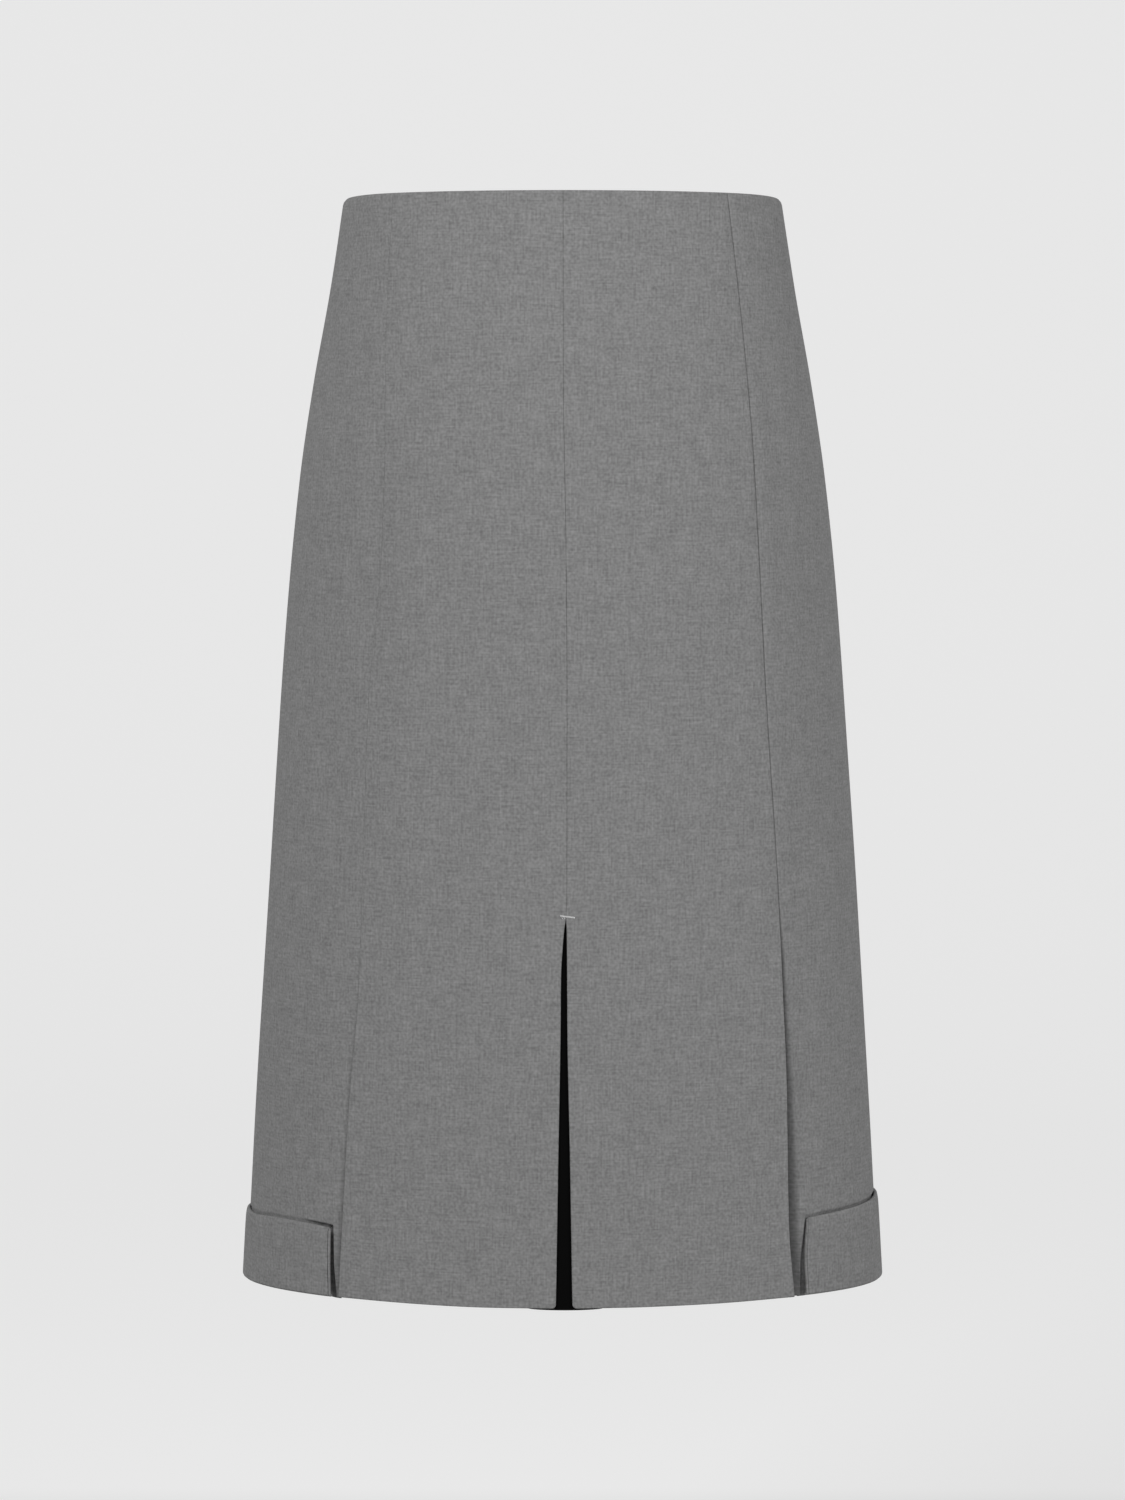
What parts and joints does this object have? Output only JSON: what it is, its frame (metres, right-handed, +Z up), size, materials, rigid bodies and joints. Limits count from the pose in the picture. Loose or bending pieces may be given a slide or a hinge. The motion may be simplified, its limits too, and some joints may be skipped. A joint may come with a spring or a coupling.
{
  "type": "straight midi skirt",
  "caption": "Straight suiting midi skirt in its hollow worn form, with a centre front slit over dark cloth, side vents, turned-up cuffs on the side hems and a concealed back zip.",
  "frame": {"origin": "centre of the waist opening, on the plane of the waist edge", "axes": "+Z up from the hem to the waist, -Y the way the front faces, +X to the right as seen from the front"},
  "size_m": [0.4218, 0.264, 0.7083],
  "materials": {
    "suiting": "matt mid-grey melange suiting, plain weave",
    "underlay": "matt black lining-weight cloth",
    "zip_tape": "woven grey tape with a nylon coil",
    "zip_metal": "grey enamel, slightly glossy"
  },
  "bodies": {
    "skirt": {"front_left": "suiting", "front_right": "suiting", "side_left": "suiting", "side_right": "suiting", "cuff_left": "suiting", "cuff_right": "suiting", "back_left": "suiting", "back_right": "suiting", "slit_underlay": "underlay", "zip_tape_left": "zip_tape", "zip_tape_right": "zip_tape", "zip_slider": "zip_metal"},
    "pull": {"zip_pull": "zip_metal"}
  },
  "joints": [
    {"name": "pull_swing", "type": "hinge", "parent": "skirt", "child": "pull", "pos_m": [0, 0.10736, -0.00928], "axis": [1, 0, 0], "range_deg": [0, 170]}
  ]
}
